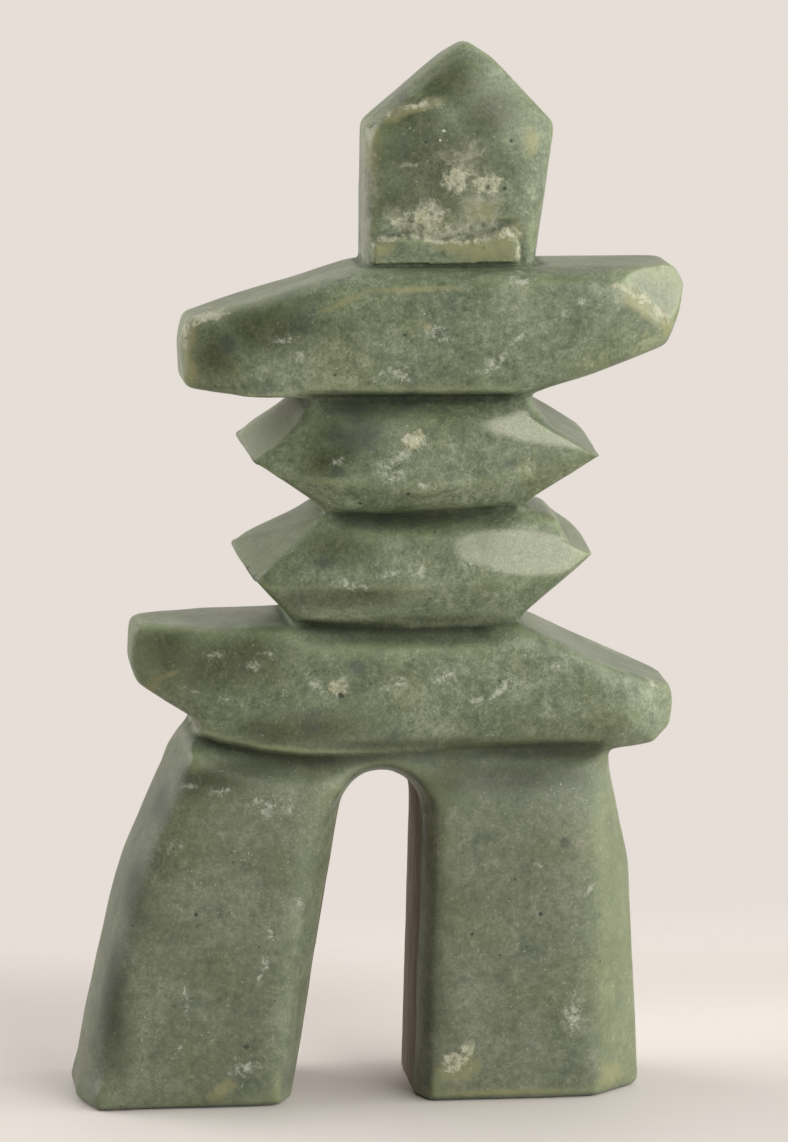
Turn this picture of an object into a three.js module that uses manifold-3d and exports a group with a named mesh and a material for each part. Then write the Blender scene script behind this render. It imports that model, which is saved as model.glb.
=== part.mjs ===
// A small inukshuk: a figure of six stacked stones with two legs, carved from one block of green stone.
// Millimetres, +X to the right, +Y to the back, +Z up, with the origin under the middle of the figure.
import * as THREE from 'three';
import Module from 'manifold-3d';
import { ConvexGeometry } from 'three/addons/geometries/ConvexGeometry.js';
import { mergeVertices } from 'three/addons/utils/BufferGeometryUtils.js';

const wasm = await Module();
wasm.setup();

// Stones, from the ground up. Width is from end to end, depth from front to back, shift is how far the middle of
// the stone lies to the right of the centre line, and worn is the radius that its edges are polished to.
const LEGS = { height: 53, width: 85.8, depth: 27.2, shift: -3.5, worn: 1.2 };
const HIPS = { height: 19.3, width: 81.8, depth: 27, shift: 3.7, worn: 1.2 };
const LOWER_BELLY = { height: 17.1, width: 53, depth: 27, shift: 5.4, worn: 1 };
const UPPER_BELLY = { height: 17.2, width: 52.8, depth: 27, shift: 6.2, worn: 1 };
const SHOULDERS = { height: 18.6, width: 75.3, depth: 26, shift: 8.1, worn: 1.2 };
const HEAD = { height: 33, width: 28.8, depth: 14, shift: 12.2, worn: 0.9 };

// Waists, the grooves sawn between one stone and the next. The rise lifts a waist's left end.
const LEG_GROOVE = { width: 60.4, depth: 20, shift: 3.6, rise: 4.8 };
const HIP_GROOVE = { width: 32, depth: 19, shift: 3.6, rise: 0 };
const BELLY_GROOVE = { width: 27.4, depth: 18.8, shift: 6.2, rise: 0 };
const SHOULDER_GROOVE = { width: 30.4, depth: 18.6, shift: 5.6, rise: 0 };
const NECK = { width: 24, depth: 13, shift: 10.4, rise: 0 };
const BITE = 0.5; // depth that a stone runs into its neighbour through their waist

// The doorway between the legs: a round-topped passage, straight through the middle of the stone, with a mouth at
// the front and the back that flares out to the faces. The haunch is the corner of a mouth over the left jamb.
const DOORWAY = { radius: 6.1, bridge: 3, shift: -0.2, foot: 18.4, lean: 1.2, straight: 16 };
const MOUTH = { flare: 2.6, shift: 0.1, foot: 24.4, haunch: { out: 3.4, down: 4 } };
const ARC_STEPS = 14; // flats around the top of the arch

const LEDGE = { width: 21, low: 0.8, high: 4, proud: 0.7, shift: 9.5 }; // broken ledge across the head's foot
const BALL_DETAIL = 1; // subdivisions of the ball that rounds a corner

// Corners of each stone between its waists: how far across its width from the left end, how far up its height, and
// how much of its depth the front and the back span there.
const STONES = [
  {
    size: LEGS,
    corners: [
      [0.004, 0, 0.45], [0.03, 0, 1], [0.033, 0.26, 0.48], [0.06, 0.26, 1],
      [0.088, 0.65, 0.48], [0.12, 0.65, 1], [0.174, 0.97, 0.48], [0.192, 0.95, 0.96],
      [1, 0, 0.5], [0.92, 0, 1], [0.98, 0.66, 0.5], [0.905, 0.72, 1],
      [0.95, 0.85, 0.5], [0.895, 0.87, 0.96], [0.94, 0.96, 0.55],
    ],
  },
  {
    size: HIPS,
    corners: [
      [0.01, 0.57, 0.33], [0, 0.72, 0.3], [0.004, 1, 0.37], [0.09, 0.42, 0.63], [0.18, 0.45, 0.93],
      [0.22, 0, 0.76], [0.12, 1, 0.78], [0.27, 0.97, 0.96],
      [0.925, 0.23, 0.89], [0.965, 0, 0.63], [0.995, 0.1, 0.4], [1, 0.3, 0.37], [0.993, 0.45, 0.37],
      [0.96, 0.53, 0.7], [0.853, 0.79, 0.9], [0.72, 0.97, 0.96],
    ],
  },
  {
    size: LOWER_BELLY,
    corners: [
      [0.235, 0.38, 1], [0.05, 0.41, 0.85], [0, 0.58, 0.96], [0.21, 0.86, 0.9],
      [0.7, 0.31, 1], [0.895, 0.42, 0.89], [0.76, 0.53, 0.98],
      [1, 0.63, 0.7], [0.905, 0.93, 0.78], [0.73, 0.9, 0.87],
    ],
  },
  {
    size: UPPER_BELLY,
    corners: [
      [0.265, 0.26, 1], [0.14, 0.36, 0.98], [0, 0.53, 0.99], [0.16, 0.76, 0.9],
      [0.47, 0.19, 1], [0.695, 0.26, 1], [1, 0.51, 0.93], [0.84, 0.85, 0.81], [0.74, 0.79, 0.92],
    ],
  },
  {
    size: SHOULDERS,
    corners: [
      [0.11, 0, 0.85], [0.005, 0.05, 0.42], [0, 0.4, 0.27], [0.01, 0.565, 0.35],
      [0.19, 0.785, 0.88], [0.31, 0.86, 0.96], [0.35, 1, 0.69],
      [0.62, 0, 0.92], [0.82, 0.15, 0.92], [0.965, 0.38, 0.73], [0.99, 0.64, 0.5],
      [1, 0.87, 0.42], [0.985, 0.99, 0.6], [0.85, 0.87, 0.94], [0.695, 0.94, 1], [0.87, 0.985, 0.69],
    ],
  },
  {
    size: HEAD,
    corners: [
      [0, 0, 0.57], [0.025, 0, 1], [0.005, 0.63, 0.5], [0.02, 0.62, 0.95],
      [0.43, 0.945, 0.5], [0.54, 1, 0.4], [0.66, 0.935, 0.5], [0.52, 0.92, 0.93],
      [1, 0.625, 0.4], [0.87, 0.61, 0.95], [0.89, 0, 0.5], [0.755, 0, 1],
    ],
  },
];
const WAISTS = [LEG_GROOVE, HIP_GROOVE, BELLY_GROOVE, SHOULDER_GROOVE, NECK];

// Height of each stone's seat, worked up from the ground.
const seats = STONES.map((stone, level) =>
  STONES.slice(0, level).reduce((sum, below) => sum + below.size.height, 0));

// Points of a worn corner: a ball of the worn radius, drawn in from the corner so that it keeps to the stone's size.
function wornCorner(corner, middle, size) {
  const [acrossShare, deepShare, upShare] = [size.width, size.depth, size.height]
    .map((length) => 1 - (2 * size.worn) / length);
  const drawnIn = new THREE.Vector3(acrossShare, deepShare, upShare);
  const centre = corner.clone().sub(middle).multiply(drawnIn).add(middle);
  const ball = new THREE.IcosahedronGeometry(size.worn, BALL_DETAIL).getAttribute('position');
  const points = [];
  for (let i = 0; i < ball.count; i += 1) {
    points.push(new THREE.Vector3().fromBufferAttribute(ball, i).add(centre));
  }
  return points;
}

// Closed solid of a geometry.
function solidOf(geometry) {
  const bare = geometry.clone();
  bare.deleteAttribute('normal');
  bare.deleteAttribute('uv');
  const merged = mergeVertices(bare, 1e-5);
  return new wasm.Manifold(new wasm.Mesh({
    numProp: 3,
    vertProperties: new Float32Array(merged.getAttribute('position').array),
    triVerts: new Uint32Array(merged.index.array),
  }));
}

// Both the front and the back copy of a point that lies at half a depth.
function frontAndBack(x, z, depth) {
  return [new THREE.Vector3(x, -depth / 2, z), new THREE.Vector3(x, depth / 2, z)];
}

// Corners of a waist at a height, its left end lifted by its rise.
function waistCorners(waist, height) {
  const left = waist.shift - waist.width / 2;
  const right = waist.shift + waist.width / 2;
  return [
    ...frontAndBack(left, height + waist.rise, waist.depth),
    ...frontAndBack(right, height, waist.depth),
  ];
}

// One stone: the convex form that spans its own worn corners and the sharp ones of the waists below and above it.
function carveStone(stone, level) {
  const { size, corners } = stone;
  const seat = seats[level];
  const left = size.shift - size.width / 2;
  const middle = new THREE.Vector3(size.shift, 0, seat + size.height / 2);
  const points = corners
    .flatMap(([across, up, deep]) =>
      frontAndBack(left + across * size.width, seat + up * size.height, deep * size.depth))
    .flatMap((corner) => wornCorner(corner, middle, size));
  if (level > 0) {
    points.push(...waistCorners(WAISTS[level - 1], seat - BITE));
  }
  if (level < WAISTS.length) {
    points.push(...waistCorners(WAISTS[level], seat + size.height));
  }
  return solidOf(new ConvexGeometry(points));
}

// Outline of an arch: the two feet of its jambs, then the points over its top from right to left.
function archOutline(radius, shift, foot, springing) {
  const rightFoot = shift + radius - DOORWAY.lean;
  const outline = [[rightFoot - foot, -BITE], [rightFoot, -BITE]];
  for (let step = 0; step <= ARC_STEPS; step += 1) {
    const angle = (Math.PI * step) / ARC_STEPS;
    outline.push([shift + radius * Math.cos(angle), springing + radius * Math.sin(angle)]);
  }
  return outline;
}

// Solid that spans two outlines at two places along Y.
function spanOutlines(near, nearY, far, farY) {
  const points = [
    ...near.map(([x, z]) => new THREE.Vector3(x, nearY, z)),
    ...far.map(([x, z]) => new THREE.Vector3(x, farY, z)),
  ];
  return solidOf(new ConvexGeometry(points));
}

// The doorway: a straight passage between two mouths that flare to the front and the back.
function carveDoorway() {
  const springing = LEGS.height - DOORWAY.bridge - DOORWAY.radius;
  const passage = archOutline(DOORWAY.radius, DOORWAY.shift, DOORWAY.foot, springing);
  const mouthRadius = DOORWAY.radius + MOUTH.flare;
  const mouthShift = DOORWAY.shift + MOUTH.shift;
  const mouth = archOutline(mouthRadius, mouthShift, MOUTH.foot, springing);
  mouth.push([mouthShift - mouthRadius - MOUTH.haunch.out, springing - MOUTH.haunch.down]);
  const face = LEGS.depth / 2 + LEGS.worn;
  const start = DOORWAY.straight / 2;
  return spanOutlines(passage, -start, passage, start)
    .add(spanOutlines(mouth, -face, passage, -start))
    .add(spanOutlines(passage, start, mouth, face));
}

// The ledge left where the face of the head broke away above its foot.
function carveLedge() {
  const seat = seats[seats.length - 1];
  const left = LEDGE.shift - LEDGE.width / 2;
  const right = LEDGE.shift + LEDGE.width / 2;
  const face = -HEAD.depth / 2 - LEDGE.proud;
  const points = [];
  for (const x of [left, right]) {
    points.push(new THREE.Vector3(x, face, seat + LEDGE.low), new THREE.Vector3(x, face, seat + LEDGE.high));
    points.push(new THREE.Vector3(x, 0, seat + LEDGE.low), new THREE.Vector3(x, 0, seat + LEDGE.high));
  }
  return solidOf(new ConvexGeometry(points));
}

function meshOf(name, solid, material) {
  const { vertProperties, triVerts } = solid.getMesh();
  const geometry = new THREE.BufferGeometry();
  geometry.setAttribute('position', new THREE.BufferAttribute(vertProperties, 3));
  geometry.setIndex(new THREE.BufferAttribute(triVerts, 1));
  const mesh = new THREE.Mesh(geometry, material);
  mesh.name = name;
  return mesh;
}

const [legs, ...upperStones] = STONES.map(carveStone);
let figure = legs.subtract(carveDoorway());
for (const stone of upperStones) {
  figure = figure.add(stone);
}
figure = figure.add(carveLedge());

const greenStone = new THREE.MeshStandardMaterial({ color: 0x3d4a2b, roughness: 0.35, metalness: 0 });
const inukshuk = meshOf('inukshuk', figure, greenStone);

// The origin lies on the ground under the middle of the figure's width.
const box = new THREE.Box3().setFromObject(inukshuk);
inukshuk.position.set(-(box.min.x + box.max.x) / 2, -(box.min.y + box.max.y) / 2, -box.min.z);

const model = new THREE.Group();
model.add(inukshuk);
export default model;
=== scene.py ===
"""A small inukshuk figure, carved from one block of green stone, on a pale table in soft studio light."""
import logging
import math
from dataclasses import dataclass, field
from enum import Enum
from typing import Any, Union

import bpy
import numpy as np
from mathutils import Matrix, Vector


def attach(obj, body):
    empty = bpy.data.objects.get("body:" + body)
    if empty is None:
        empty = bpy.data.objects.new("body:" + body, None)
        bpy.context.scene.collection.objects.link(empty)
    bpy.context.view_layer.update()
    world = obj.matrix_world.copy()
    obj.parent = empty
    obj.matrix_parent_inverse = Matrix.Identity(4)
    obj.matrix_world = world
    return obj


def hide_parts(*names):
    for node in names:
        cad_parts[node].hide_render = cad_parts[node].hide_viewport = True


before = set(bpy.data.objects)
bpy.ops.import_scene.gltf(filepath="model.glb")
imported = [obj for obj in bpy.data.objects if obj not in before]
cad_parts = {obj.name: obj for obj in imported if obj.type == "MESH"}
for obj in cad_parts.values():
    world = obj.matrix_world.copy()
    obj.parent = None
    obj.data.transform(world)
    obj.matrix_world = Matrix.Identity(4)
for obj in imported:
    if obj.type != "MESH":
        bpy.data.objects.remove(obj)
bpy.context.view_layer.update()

MM = 0.001  # one millimetre in the scene's unit
PHOTO_HEIGHT = 1142  # the photograph's long side, in pixels

Number = Union[int, float]
Point = tuple[float, float, float]
Colour = tuple[float, float, float]
Step = tuple[float, float]  # where a soft step is 0 and where it is 1

MARK_DEPTH = 2.5  # how deep a mark reaches into the stone, in mm
SLOPE_RISE = 0.7  # a flat whose normal rises more than this lies on the top of a tier
SLOPE_FADE = 3.5  # how far below its upper end such a flat fades away, in mm
OVAL_EDGE: Step = (1.08, 0.9)  # where an oval flat ends and where it is whole, as shares of its size
SEAM: Step = (0.9, 0.4)  # how far off a soft flat the skin is no longer ground, and still is, in mm
CRISP_SEAM: Step = (0.32, 0.12)  # the same for a crisp one

log = logging.getLogger("inukshuk")


class Tint(Enum):
    """Colourings that the stone carries in places, each kept as an attribute of its mesh; some are painted shade or
    painted sheen.
    """

    CREAM = "cream_crust"
    WHITE = "white_flecks"
    OCHRE = "ochre_stain"
    HAZE_AND_SHEEN = "pale_haze"
    DIM_AND_SHADE = "dim_cloud"
    DARK = "dark_cloud"


class Trace(Enum):
    """Traces of work and handling, and painted light and shade laid with them, each kept as an attribute of the mesh.
    """

    WEAR_AND_PAINTED_LIGHT = "worn_edge"
    PAINTED_HOLLOW_SHADE = "hollow"
    SAWN = "sawn_wall"
    GROUND_AND_HIGHLIGHT = "ground_flat"


def smooth_step(value: np.ndarray, low: Number, high: Number) -> np.ndarray:
    """A soft step from 0 at low to 1 at high, which may also run downwards."""
    share = np.clip((value - low) / (high - low), 0.0, 1.0)
    return share * share * (3.0 - 2.0 * share)


def turned(across: np.ndarray, up: np.ndarray, tilt: Number) -> tuple[np.ndarray, np.ndarray]:
    """Lengths along and beside a line that is tilted by some degrees.

    Args:
        across: Lengths to the right.
        up: Lengths upwards.
        tilt: The line's tilt.

    Returns:
        Both lengths.
    """
    turn = math.radians(tilt)
    return across * math.cos(turn) + up * math.sin(turn), up * math.cos(turn) - across * math.sin(turn)


@dataclass(frozen=True)
class Span:
    """A stretch of the figure, in mm, with a soft start and a soft end."""

    start: float
    full: float
    last: float
    gone: float

    def of(self, values: np.ndarray) -> np.ndarray:
        """1 for values well inside the stretch and 0 outside it."""
        return smooth_step(values, self.start, self.full) * smooth_step(values, self.gone, self.last)


@dataclass(frozen=True)
class Marks:
    """Marks of one tint: the middle of each in mm, its half length and half width, and its tilt in degrees."""

    tint: Tint
    places: tuple[tuple[float, float, float, float, float, float], ...]


@dataclass(frozen=True)
class Grain:
    """A single grain in the surface, round and a fraction of a millimetre wide."""

    at: Point
    radius: float
    bright: bool = False


@dataclass(frozen=True)
class Flat:
    """A flat, or slightly bowed, surface that a part of the figure is ground to."""

    at: Point
    normal: Point
    reach: float
    low: float
    high: float
    soft: bool = False
    pale: float = 0.0  # how much paler than the polished stone it is: frosted, with painted light
    bow: float = 0.0  # how fast the surface falls away to both ends, in 1/mm
    oval: tuple[float, float, float, float, float] | None = None  # x, z, half length, half height, tilt in degrees

    def over(self, points: np.ndarray, facing: np.ndarray) -> tuple[np.ndarray, np.ndarray, np.ndarray]:
        """How points stand to the surface.

        Args:
            points: Places in mm.
            facing: The way the skin faces at each.

        Returns:
            Height over the surface, how squarely the skin faces it, and how far the grinding reaches there, 0 to 1.
        """
        normal = np.array(self.normal) / np.linalg.norm(self.normal)
        offset = points - np.array(self.at)
        along = (offset[:, 1] * normal[0] - offset[:, 0] * normal[1]) / math.hypot(normal[0], normal[1])
        near = (np.linalg.norm(offset, axis=1) < self.reach) & (points[:, 2] > self.low) & (points[:, 2] < self.high)
        reached = near * 1.0
        if self.normal[2] > SLOPE_RISE:
            reached = near * smooth_step(points[:, 2], self.high, self.high - SLOPE_FADE)
        if self.oval:
            x, z, half_length, half_height, tilt = self.oval
            wide, high = turned(points[:, 0] - x, points[:, 2] - z, tilt)
            reached *= smooth_step(np.hypot(wide / half_length, high / half_height), *OVAL_EDGE)
        return offset @ normal + self.bow * along**2, facing @ normal, reached


@dataclass(frozen=True)
class Kerf:
    """A groove filed along a line, or a crease left standing there, on the front and again on the back."""

    line: tuple[tuple[float, float, float], ...]  # x and z of a place, and how deep it is there, in mm
    width: float = 0.45  # how far it reaches above the line
    below: float = 1.8  # and below it

    def at(self, x: np.ndarray, z: np.ndarray) -> tuple[np.ndarray, np.ndarray]:
        """How far above the line places are, and how deep the groove is there.

        Args:
            x: The places' x in mm.
            z: Their z.

        Returns:
            Both, in mm.
        """
        line = np.array(self.line)
        return z - np.interp(x, line[:, 0], line[:, 1]), np.interp(x, line[:, 0], line[:, 2])


# The dim marks are mostly painted shade, under the tiers, in the grooves and on the left sides; on the head they
# darken its face. The dark marks under the shoulders are painted shade, and the haze on the head's left strip is a
# painted sheen.
MARKS: tuple[Marks, ...] = (
    # head
    Marks(Tint.DIM_AND_SHADE, (
        (7.5, -6.8, 140.4, 7.5, 5.7, 0), (5.3, -6.7, 146.7, 4.5, 3.6, -30), (16.4, -6.7, 148.1, 4.8, 3.3, 25),
        (10.8, -6.6, 152.5, 4.5, 3.3, 0), (5.3, -6.9, 135.2, 5.1, 3.0, 0),
    )),
    Marks(Tint.HAZE_AND_SHEEN, (
        # the three on the head's left strip, and the first of the next row: painted sheen
        (-1.9, -3.3, 142.4, 0.8, 2.7, 0), (-1.9, -3.5, 137.2, 0.8, 4.2, 0), (-1.9, -4.3, 130.6, 0.8, 3.9, 0),
        (-0.8, -6.7, 137.5, 0.6, 5.1, 0), (3.4, -6.6, 148.5, 1.5, 0.8, 20), (7.5, -6.6, 149.5, 1.8, 0.9, 10),
        (11.6, -6.8, 141.4, 1.5, 1.3, 20), (13.9, -6.8, 142.2, 1.8, 1.7, 0), (13.7, -6.8, 139.6, 1.5, 1.7, -30),
        (16.9, -6.9, 136.1, 2.0, 1.3, -30), (14.3, -6.9, 135.4, 2.0, 1.2, 0), (13.4, -6.9, 133.1, 1.7, 1.5, 0),
        (16.1, -6.9, 133.0, 1.5, 1.5, 0), (13.4, -6.9, 131.0, 2.4, 1.2, 0), (16.4, -6.9, 131.2, 1.7, 1.2, 0),
        (7.5, -6.9, 134.2, 1.5, 1.0, 0), (2.0, -6.9, 133.2, 1.5, 1.0, -45), (8.7, -6.9, 133.4, 1.3, 1.0, 60),
        (9.9, -6.8, 141.8, 1.5, 0.8, 20), (3.5, -6.8, 140.4, 3.7, 0.3, 8),
    )),
    Marks(Tint.CREAM, (
        (-1.1, -5.9, 146.1, 1.2, 0.5, 35), (1.0, -6.2, 147.5, 1.2, 0.4, 22), (5.7, -6.6, 149.1, 1.3, 0.4, 15),
        (11.3, -6.8, 138.3, 1.7, 1.8, 0), (15.5, -6.8, 137.5, 2.2, 1.5, 0), (6.9, -6.9, 132.0, 2.5, 2.2, -35),
        (3.6, -6.9, 131.4, 2.0, 1.3, 0), (10.5, -6.9, 130.3, 2.2, 1.0, 20), (1.2, -6.9, 129.5, 2.1, 0.5, 8),
        (4.8, -6.9, 129.9, 2.1, 0.5, 0), (8.4, -7.0, 129.4, 1.9, 0.6, -12), (11.9, -7.0, 129.4, 2.1, 0.7, 0),
        (15.5, -6.9, 129.8, 2.1, 0.8, 6), (18.6, -6.9, 130.2, 2.0, 0.8, 0), (20.5, -6.8, 128.1, 0.6, 1.8, 0),
    )),
    Marks(Tint.OCHRE, (
        (5.3, -6.7, 148.8, 3.9, 0.8, 16), (-0.8, -6.7, 144.6, 1.8, 1.1, 70), (2.3, -6.6, 147.6, 2.7, 0.9, 22),
        (-1.2, -6.5, 141.9, 2.1, 0.9, 88), (15.2, -6.9, 133.6, 2.1, 1.5, 0), (17.8, -7.7, 128.3, 2.4, 1.6, 0),
        (0.4, -7.7, 128.1, 1.5, 1.3, 0), (11.1, -7.7, 128.4, 3.0, 0.9, 0), (15.4, -7.7, 127.6, 4.8, 1.5, 0),
        (20.1, -6.9, 130.3, 1.2, 1.2, 0), (22.8, -6.5, 143.9, 1.2, 1.8, 0),
    )),
    Marks(Tint.WHITE, (
        (20.8, -9.8, 124.7, 1.3, 1.1, 20), (19.2, -11.8, 124.2, 0.9, 0.8, 0),
    )),
    # shoulders
    Marks(Tint.DIM_AND_SHADE, (
        (-18.8, -10.0, 117.4, 7.8, 3.6, -8), (-24.5, -7.9, 113.2, 3.6, 3.0, 0),
    )),
    Marks(Tint.CREAM, (
        (-26.2, -5.8, 118.1, 3.9, 0.8, 14), (-28.8, -4.3, 116.1, 0.8, 2.2, 0),
        (35.8, -11.6, 122.2, 1.8, 0.8, -12), (39.1, -10.4, 120.3, 2.5, 0.9, -38),
        (41.8, -9.6, 118.0, 2.1, 0.8, -40),
    )),
    Marks(Tint.OCHRE, (
        (-28.3, -5.2, 115.0, 1.2, 3.6, 0), (-28.1, -6.0, 110.1, 1.2, 1.5, 0), (6.4, -12.4, 117.1, 0.6, 0.6, 0),
        (42.7, -9.4, 116.3, 1.5, 1.2, -40), (38.3, -10.8, 119.8, 3.9, 1.3, -34),
        (-5.0, -12.5, 121.2, 4.5, 0.4, 24), (5.3, -12.6, 122.6, 6.0, 0.4, 2),
    )),
    Marks(Tint.WHITE, (
        (-14.5, -11.7, 115.2, 2.5, 0.8, 12), (1.4, -11.9, 110.5, 3.0, 1.1, 24), (3.0, -11.9, 109.6, 1.2, 1.2, 0),
        (16.0, -12.2, 111.3, 2.2, 1.1, 42), (17.5, -12.3, 112.6, 1.3, 0.8, 20), (7.4, -12.4, 116.3, 1.8, 1.6, 30),
        (9.5, -12.4, 114.9, 1.2, 1.2, 50), (20.0, -12.5, 115.2, 0.8, 1.6, -70),
        (26.8, -12.6, 119.0, 1.2, 0.8, 30), (29.4, -12.5, 120.4, 0.9, 0.6, 30),
        (-12.3, -11.7, 112.7, 2.1, 1.2, 10), (20.1, -12.7, 123.6, 2.7, 0.8, 6),
    )),
    Marks(Tint.DARK, (
        (27.0, -12.3, 113.9, 1.2, 0.6, 0), (-22.7, -8.6, 114.4, 1.6, 1.3, 0),
    )),
    # upper belly
    Marks(Tint.DIM_AND_SHADE, (
        (-5.3, -11.9, 102.8, 6.0, 3.6, -8), (-3.4, -10.7, 104.7, 6.9, 1.9, 0), (-8.4, -13.4, 97.4, 4.2, 2.4, 10),
    )),
    # painted shade under the shoulders' overhang, like the dim marks above
    Marks(Tint.DARK, (
        (-4.6, -10.7, 104.7, 3.3, 1.3, 0), (-4.0, -12.4, 101.9, 4.0, 2.9, -8), (-7.1, -13.5, 95.6, 1.2, 0.9, 0),
        (-5.4, -12.0, 102.7, 1.2, 0.9, 0),
    )),
    Marks(Tint.CREAM, (
        (4.1, -12.9, 100.4, 1.5, 1.1, 30),
    )),
    Marks(Tint.WHITE, (
        (5.3, -13.0, 99.8, 1.9, 1.2, 20), (2.9, -13.2, 98.1, 2.4, 1.1, 40), (0.5, -13.4, 96.4, 2.4, 1.3, 48),
        (1.9, -13.5, 95.4, 2.1, 1.2, 20), (-6.9, -13.4, 97.2, 1.3, 0.9, 0), (21.6, -13.0, 97.4, 0.4, 2.7, 5),
        (6.4, -13.5, 93.6, 1.5, 0.6, 0),
    )),
    Marks(Tint.OCHRE, (
        (4.1, -13.0, 99.9, 1.1, 0.8, 30), (-19.0, -13.4, 98.5, 1.8, 0.8, -40),
    )),
    # lower belly
    Marks(Tint.DIM_AND_SHADE, (
        (-6.6, -12.5, 76.9, 9.0, 2.1, 3), (-8.0, -12.5, 84.9, 4.8, 2.7, 0), (2.6, -10.8, 88.2, 9.0, 1.5, 0),
    )),
    Marks(Tint.WHITE, (
        (0.9, -13.3, 80.6, 1.9, 0.9, 20), (5.1, -13.3, 80.7, 1.6, 1.1, 60), (12.7, -13.2, 81.5, 1.2, 0.8, -30),
        (-5.2, -13.5, 79.0, 3.3, 0.8, -6),
    )),
    Marks(Tint.OCHRE, (
        (-18.8, -13.0, 82.0, 1.8, 0.6, -30),
    )),
    Marks(Tint.DARK, (
        (-8.9, -13.0, 82.0, 1.8, 1.3, 0),
    )),
    # hips
    Marks(Tint.DIM_AND_SHADE, (
        (-25.1, -11.3, 67.2, 9.9, 3.6, 8), (-31.7, -7.9, 69.1, 3.9, 2.7, 0), (-12.5, -11.5, 57.3, 9.0, 2.4, 5),
        (2.3, -13.0, 70.5, 13.5, 1.2, 0), (5.6, -10.6, 54.1, 16.5, 0.9, 0), (4.1, -10.4, 72.1, 16.5, 1.2, 0),
    )),
    Marks(Tint.OCHRE, (
        (-31.7, -7.7, 65.0, 3.0, 0.4, 22), (-34.3, -5.8, 62.8, 1.2, 0.6, 40),
    )),
    Marks(Tint.WHITE, (
        (-25.0, -11.3, 68.5, 1.5, 0.8, 0), (-19.7, -12.5, 66.7, 1.3, 0.8, 30), (-17.3, -12.7, 68.6, 1.2, 0.6, 0),
        (-9.9, -12.7, 63.8, 2.4, 1.3, -20), (2.0, -12.7, 64.1, 2.4, 1.2, 25), (9.5, -12.7, 64.9, 3.0, 1.2, 20),
        (17.3, -12.5, 62.6, 2.7, 0.9, 30), (14.1, -12.4, 61.1, 1.5, 0.6, 20), (26.0, -12.7, 66.3, 1.5, 0.8, 0),
        (27.8, -4.2, 69.9, 3.0, 0.4, -10), (-28.6, -9.2, 63.0, 1.8, 0.4, -18),
        (-24.1, -11.5, 61.8, 1.8, 0.4, -10),
    )),
    Marks(Tint.CREAM, (
        (-6.9, -12.7, 63.4, 1.3, 1.2, 0), (41.2, -9.4, 62.4, 1.3, 0.5, -22),
    )),
    Marks(Tint.DARK, (
        (-6.5, -12.6, 62.3, 0.9, 0.5, 30), (-3.9, -12.8, 66.4, 1.2, 1.5, 30), (24.0, -12.9, 68.8, 0.9, 0.8, 0),
        (-11.0, -11.5, 57.4, 1.8, 1.2, -20),
    )),
    # legs
    Marks(Tint.DIM_AND_SHADE, (
        (-23.8, -12.5, 50.5, 9.0, 2.4, 8), (17.4, -12.0, 49.1, 10.5, 1.8, 0), (-41.0, -10.9, 18.1, 1.9, 13.5, 8),
        (-37.5, -9.5, 34.4, 1.9, 12.0, 12), (-33.1, -7.9, 46.1, 1.8, 7.5, 25), (-0.5, -11.2, 52.7, 15.0, 1.1, 2),
        (23.7, -10.5, 52.6, 12.0, 1.1, -2),
    )),
    Marks(Tint.WHITE, (
        (-17.1, -13.6, 26.7, 0.6, 1.5, 10), (-17.9, -13.6, 22.3, 0.6, 1.5, 0),
        (-18.8, -13.6, 19.9, 0.6, 1.3, -20), (-30.0, -13.6, 18.1, 0.6, 1.9, 12),
        (-29.5, -13.6, 15.9, 0.6, 1.2, -10), (-31.1, -13.6, 9.0, 0.6, 1.8, -28),
        (-12.7, -13.6, 30.9, 0.6, 2.7, 8), (-29.8, -12.9, 48.9, 2.1, 0.6, 0), (-24.3, -13.1, 48.2, 2.4, 0.6, 8),
        (-17.9, -13.2, 46.0, 3.0, 1.5, -20), (-13.9, -13.2, 45.9, 1.5, 1.2, -40),
        (-32.1, -13.4, 40.0, 1.8, 1.2, 0), (-21.1, -13.6, 6.2, 3.0, 1.3, 20), (23.0, -13.6, 36.0, 0.8, 0.6, 0),
        (30.9, -13.5, 32.0, 1.5, 0.4, 50), (28.7, -13.6, 12.9, 1.8, 3.0, 0),
    )),
    Marks(Tint.OCHRE, (
        (-24.5, -13.6, 2.9, 2.1, 1.2, 30), (11.0, -13.6, 5.2, 3.0, 2.1, 20), (34.4, -11.4, 2.9, 2.4, 1.8, 0),
        (-27.7, -1.3, 56.1, 1.5, 0.9, -30), (17.4, -13.6, 1.3, 9.0, 0.4, 0),
    )),
    Marks(Tint.CREAM, (
        (10.7, -13.6, 6.2, 1.9, 1.6, 30), (12.4, -13.6, 8.3, 1.3, 0.9, 40),
    )),
    Marks(Tint.DARK, (
        (27.2, -13.5, 39.3, 1.1, 0.9, 0), (32.6, -13.1, 2.6, 2.1, 1.2, 0),
    )),
)

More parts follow.
